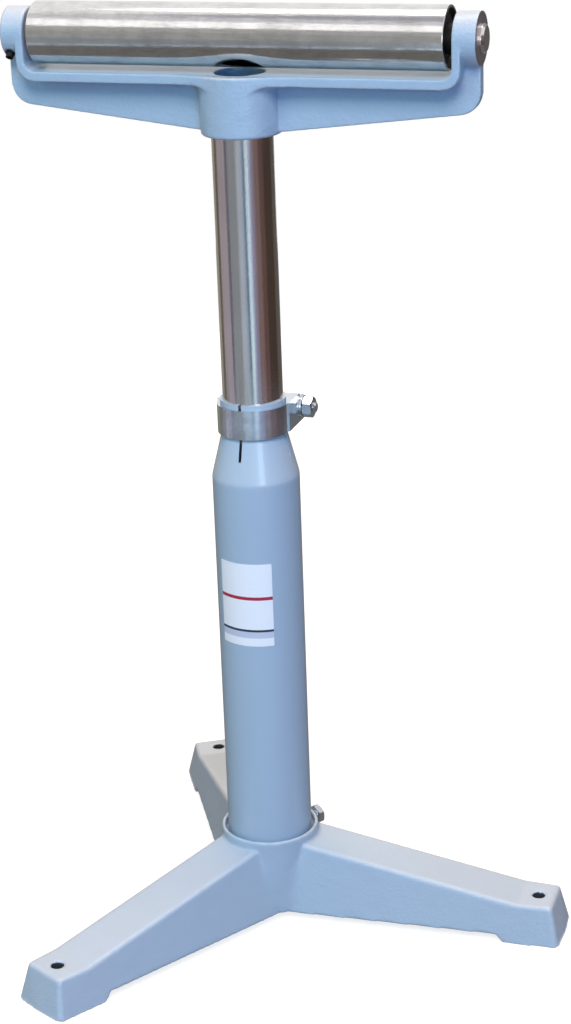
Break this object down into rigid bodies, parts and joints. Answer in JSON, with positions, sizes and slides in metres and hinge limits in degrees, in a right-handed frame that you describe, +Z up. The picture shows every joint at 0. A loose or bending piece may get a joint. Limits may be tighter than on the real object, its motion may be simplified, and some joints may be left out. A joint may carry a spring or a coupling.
{
  "type": "roller stand",
  "caption": "Height-adjustable roller stand: cast tripod base, clamped round mast in a slotted column, and a cast fork holding a ball-bearing steel roller for supporting long workpieces.",
  "frame": {"origin": "centre of the floor bolt circle, on the floor under the column's axis", "axes": "+Z up along the column, +X along the roller, +Y towards the side with the clamp bolt"},
  "size_m": [0.4771, 0.4991, 0.82],
  "materials": {
    "cast_paint": "light blue-grey enamel over a slightly uneven casting, semi-gloss",
    "column_paint": "smooth light blue-grey enamel, semi-gloss",
    "label_paper": "smooth coated paper with plain colour bands",
    "zinc_plate": "bright zinc plating with turning marks",
    "drawn_steel": "polished cold-drawn steel with fine marks along its length",
    "ground_steel": "turned and polished, fine marks round the roller",
    "black_nylon": "turned nylon",
    "spring_steel": "phosphated, dark",
    "black_screw": "black oxide",
    "bearing_steel": "ground and polished",
    "cage_steel": "pressed sheet steel",
    "seal_rubber": "moulded black rubber"
  },
  "bodies": {
    "base": {"base_casting": "cast_paint", "hub_set_screw": "zinc_plate", "column_tube": "column_paint", "column_label": "label_paper", "clamp_collar": "zinc_plate", "clamp_bolt": "zinc_plate", "clamp_washers": "zinc_plate"},
    "clamp_nut": {"clamp_nut": "zinc_plate"},
    "guide_ring": {"mast_guide_ring": "black_nylon"},
    "mast": {"mast_tube": "drawn_steel", "mast_guide_clips": "spring_steel", "fork_casting": "cast_paint", "mast_grub_screw": "black_screw", "axle_grub_screw": "black_screw", "axle": "drawn_steel", "axle_spacer_left": "drawn_steel", "axle_spacer_right": "drawn_steel", "axle_clip_left": "spring_steel", "axle_clip_right": "spring_steel", "bearing_inner_ring_left": "bearing_steel", "bearing_inner_ring_right": "bearing_steel"},
    "roller": {"roller_tube": "ground_steel", "bearing_outer_ring_left": "bearing_steel", "bearing_outer_ring_right": "bearing_steel", "bearing_seals_left": "seal_rubber", "bearing_seals_right": "seal_rubber"},
    "ball_cages": {"bearing_cage_left": "cage_steel", "bearing_cage_right": "cage_steel", "bearing_balls_left": "bearing_steel", "bearing_balls_right": "bearing_steel"}
  },
  "joints": [
    {"name": "height_slide", "type": "slide", "parent": "base", "child": "guide_ring", "axis": [0, 0, 1], "range_m": [-0.225, 0.15]},
    {"name": "head_turn", "type": "hinge", "parent": "guide_ring", "child": "mast", "pos_m": [0, 0, 0.794], "axis": [0, 0, 1], "continuous": true},
    {"name": "roller_spin", "type": "hinge", "parent": "mast", "child": "roller", "pos_m": [0, 0, 0.794], "axis": [1, 0, 0], "continuous": true},
    {"name": "cage_spin", "type": "hinge", "parent": "mast", "child": "ball_cages", "pos_m": [0, 0, 0.794], "axis": [1, 0, 0], "continuous": true},
    {"name": "nut_turn", "type": "hinge", "parent": "base", "child": "clamp_nut", "pos_m": [0.0385, 0.035, 0.46863], "axis": [1, 0, 0], "range_deg": [0, 720]}
  ],
  "couplings": [
    {"joint": "cage_spin", "follows": "roller_spin", "ratio": 0.6179}
  ]
}
